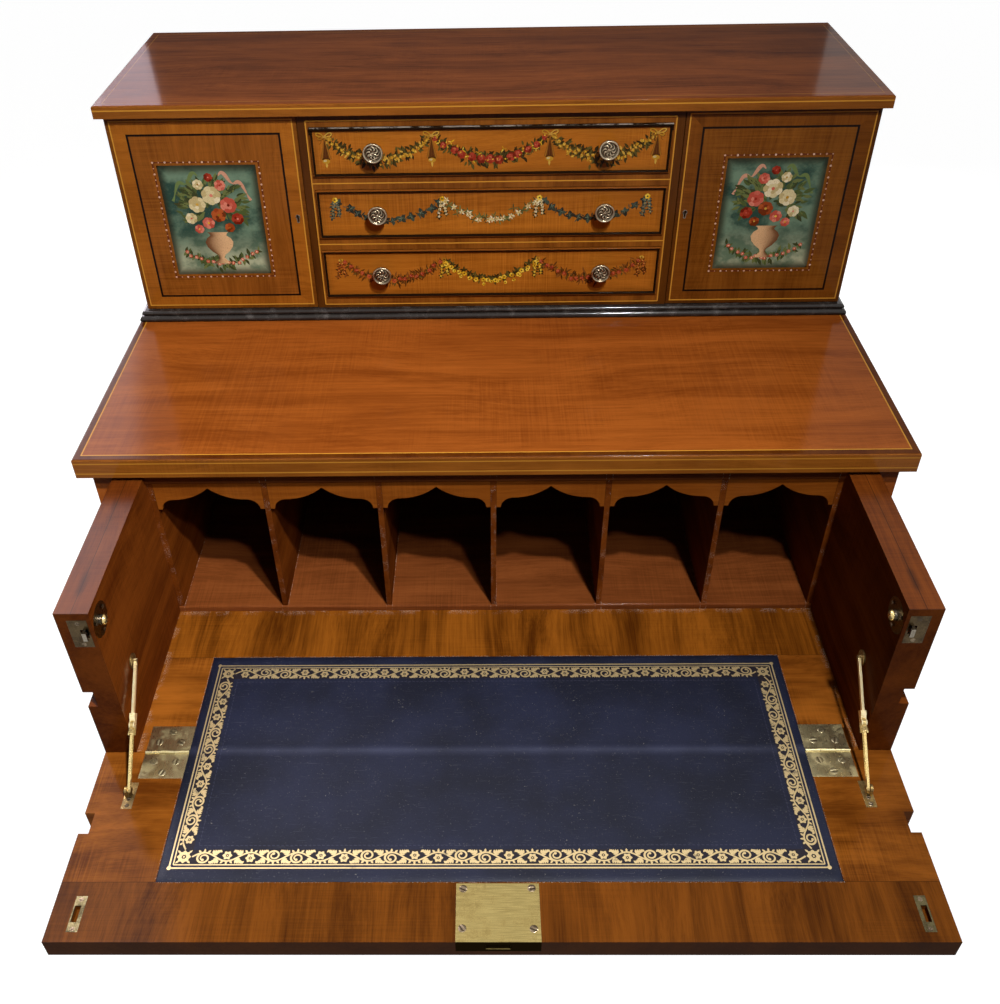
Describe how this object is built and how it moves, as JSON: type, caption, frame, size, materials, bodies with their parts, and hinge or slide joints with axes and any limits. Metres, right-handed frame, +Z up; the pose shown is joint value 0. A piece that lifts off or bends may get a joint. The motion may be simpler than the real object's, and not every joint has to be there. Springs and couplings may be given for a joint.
{
  "type": "escritoire",
  "caption": "Writing desk on tapered legs: a pull-out drawer with a let-down leathered fall and pigeonholes, and above it a small cabinet of drawers and cupboards.",
  "frame": {"origin": "on the floor, below the middle of the desk's outline as it stands open", "axes": "+X to the sitter's right, +Y from the sitter to the back of the desk, +Z up"},
  "size_m": [0.89, 0.972, 1.227],
  "materials": {
    "mahogany": "french polished",
    "satinwood": "french polished, figured",
    "ebonised": "black polish, worn",
    "secondary_wood": "planed, unpolished",
    "leather": "skiver, gilt tooled",
    "brass": "aged, polished on the stays",
    "knob_metal": "antique bronze",
    "steel": "filed"
  },
  "bodies": {
    "carcase": {"legs": "mahogany", "aprons": "mahogany", "case_bottom": "secondary_wood", "case_sides": "mahogany", "back_panels": "secondary_wood", "lower_top": "mahogany", "lock_keep": "brass", "drawer_runners": "secondary_wood", "base_moulding": "ebonised", "cabinet_bottom": "satinwood", "cabinet_sides": "mahogany", "cabinet_partitions": "satinwood", "drawer_rails": "satinwood", "upper_top": "mahogany", "door_hinge_fixed_leaves": "brass"},
    "writing_drawer": {"writing_drawer_sides": "mahogany", "writing_drawer_base": "mahogany", "writing_drawer_back": "mahogany", "pigeonhole_boards": "mahogany", "pigeonhole_dividers": "mahogany", "pigeonhole_valances": "mahogany", "drawer_leather": "leather", "fall_hinge_rear_leaves": "brass", "stay_studs": "brass", "catch_plates": "brass"},
    "fall": {"fall_board": "mahogany", "fall_leather": "leather", "fall_hinge_front_leaves": "brass", "fall_lock": "brass", "fall_strikes": "brass", "fall_stay_lugs": "brass", "fall_knobs": "knob_metal"},
    "fall_bolt": {"fall_lock_bolt": "steel"},
    "right_stay_upper_arm": {"right_stay_upper": "brass"},
    "right_stay_lower_arm": {"right_stay_lower": "brass"},
    "right_catch_bar": {"right_catch": "brass"},
    "right_door_leaf": {"right_door": "satinwood", "right_door_hinge_leaves": "brass", "right_door_lock": "brass"},
    "right_door_bolt_bar": {"right_door_bolt": "brass"},
    "left_stay_upper_arm": {"left_stay_upper": "brass"},
    "left_stay_lower_arm": {"left_stay_lower": "brass"},
    "left_catch_bar": {"left_catch": "brass"},
    "left_door_leaf": {"left_door": "satinwood", "left_door_hinge_leaves": "brass", "left_door_lock": "brass"},
    "left_door_bolt_bar": {"left_door_bolt": "brass"},
    "bottom_small_drawer": {"bottom_drawer_front": "satinwood", "bottom_drawer_cockbead": "ebonised", "bottom_drawer_box": "secondary_wood", "bottom_drawer_knobs": "knob_metal"},
    "middle_small_drawer": {"middle_drawer_front": "satinwood", "middle_drawer_cockbead": "ebonised", "middle_drawer_box": "secondary_wood", "middle_drawer_knobs": "knob_metal"},
    "top_small_drawer": {"top_drawer_front": "satinwood", "top_drawer_cockbead": "ebonised", "top_drawer_box": "secondary_wood", "top_drawer_knobs": "knob_metal"}
  },
  "joints": [
    {"name": "writing_drawer_slide", "type": "slide", "parent": "carcase", "child": "writing_drawer", "axis": [0, 1, 0], "range_m": [0, 0.23]},
    {"name": "fall_hinge", "type": "hinge", "parent": "writing_drawer", "child": "fall", "pos_m": [0, -0.279, 0.72], "axis": [-1, 0, 0], "range_deg": [0, 90]},
    {"name": "fall_bolt_slide", "type": "slide", "parent": "fall", "child": "fall_bolt", "axis": [0, -1, 0], "range_m": [0, 0.012]},
    {"name": "right_stay_upper_pivot", "type": "hinge", "parent": "writing_drawer", "child": "right_stay_upper_arm", "pos_m": [0.377, -0.227, 0.804], "axis": [1, 0, 0], "range_deg": [0, 63.5]},
    {"name": "right_stay_lower_pivot", "type": "hinge", "parent": "fall", "child": "right_stay_lower_arm", "pos_m": [0.377, -0.331, 0.7265], "axis": [1, 0, 0], "range_deg": [0, 24.3]},
    {"name": "right_catch_press", "type": "slide", "parent": "writing_drawer", "child": "right_catch_bar", "axis": [1, 0, 0], "range_m": [0, 0.0022], "stiffness_N_per_m": 700},
    {"name": "right_door_hinge", "type": "hinge", "parent": "carcase", "child": "right_door_leaf", "pos_m": [0.4336, 0.228, 1.092], "axis": [0, 0, 1], "range_deg": [0, 170]},
    {"name": "right_door_bolt_slide", "type": "slide", "parent": "right_door_leaf", "child": "right_door_bolt_bar", "axis": [-1, 0, 0], "range_m": [0, 0.006]},
    {"name": "left_stay_upper_pivot", "type": "hinge", "parent": "writing_drawer", "child": "left_stay_upper_arm", "pos_m": [-0.377, -0.227, 0.804], "axis": [1, 0, 0], "range_deg": [0, 63.5]},
    {"name": "left_stay_lower_pivot", "type": "hinge", "parent": "fall", "child": "left_stay_lower_arm", "pos_m": [-0.377, -0.331, 0.7265], "axis": [1, 0, 0], "range_deg": [0, 24.3]},
    {"name": "left_catch_press", "type": "slide", "parent": "writing_drawer", "child": "left_catch_bar", "axis": [-1, 0, 0], "range_m": [0, 0.0022], "stiffness_N_per_m": 700},
    {"name": "left_door_hinge", "type": "hinge", "parent": "carcase", "child": "left_door_leaf", "pos_m": [-0.4336, 0.228, 1.092], "axis": [0, 0, -1], "range_deg": [0, 170]},
    {"name": "left_door_bolt_slide", "type": "slide", "parent": "left_door_leaf", "child": "left_door_bolt_bar", "axis": [1, 0, 0], "range_m": [0, 0.006]},
    {"name": "bottom_small_drawer_slide", "type": "slide", "parent": "carcase", "child": "bottom_small_drawer", "axis": [0, -1, 0], "range_m": [0, 0.19]},
    {"name": "middle_small_drawer_slide", "type": "slide", "parent": "carcase", "child": "middle_small_drawer", "axis": [0, -1, 0], "range_m": [0, 0.19]},
    {"name": "top_small_drawer_slide", "type": "slide", "parent": "carcase", "child": "top_small_drawer", "axis": [0, -1, 0], "range_m": [0, 0.19]}
  ],
  "couplings": [
    {"joint": "right_stay_upper_pivot", "follows": "fall_hinge", "ratio": 0.70032},
    {"joint": "right_stay_lower_pivot", "follows": "fall_hinge", "ratio": 0.26469},
    {"joint": "left_stay_upper_pivot", "follows": "fall_hinge", "ratio": 0.70032},
    {"joint": "left_stay_lower_pivot", "follows": "fall_hinge", "ratio": 0.26469}
  ]
}
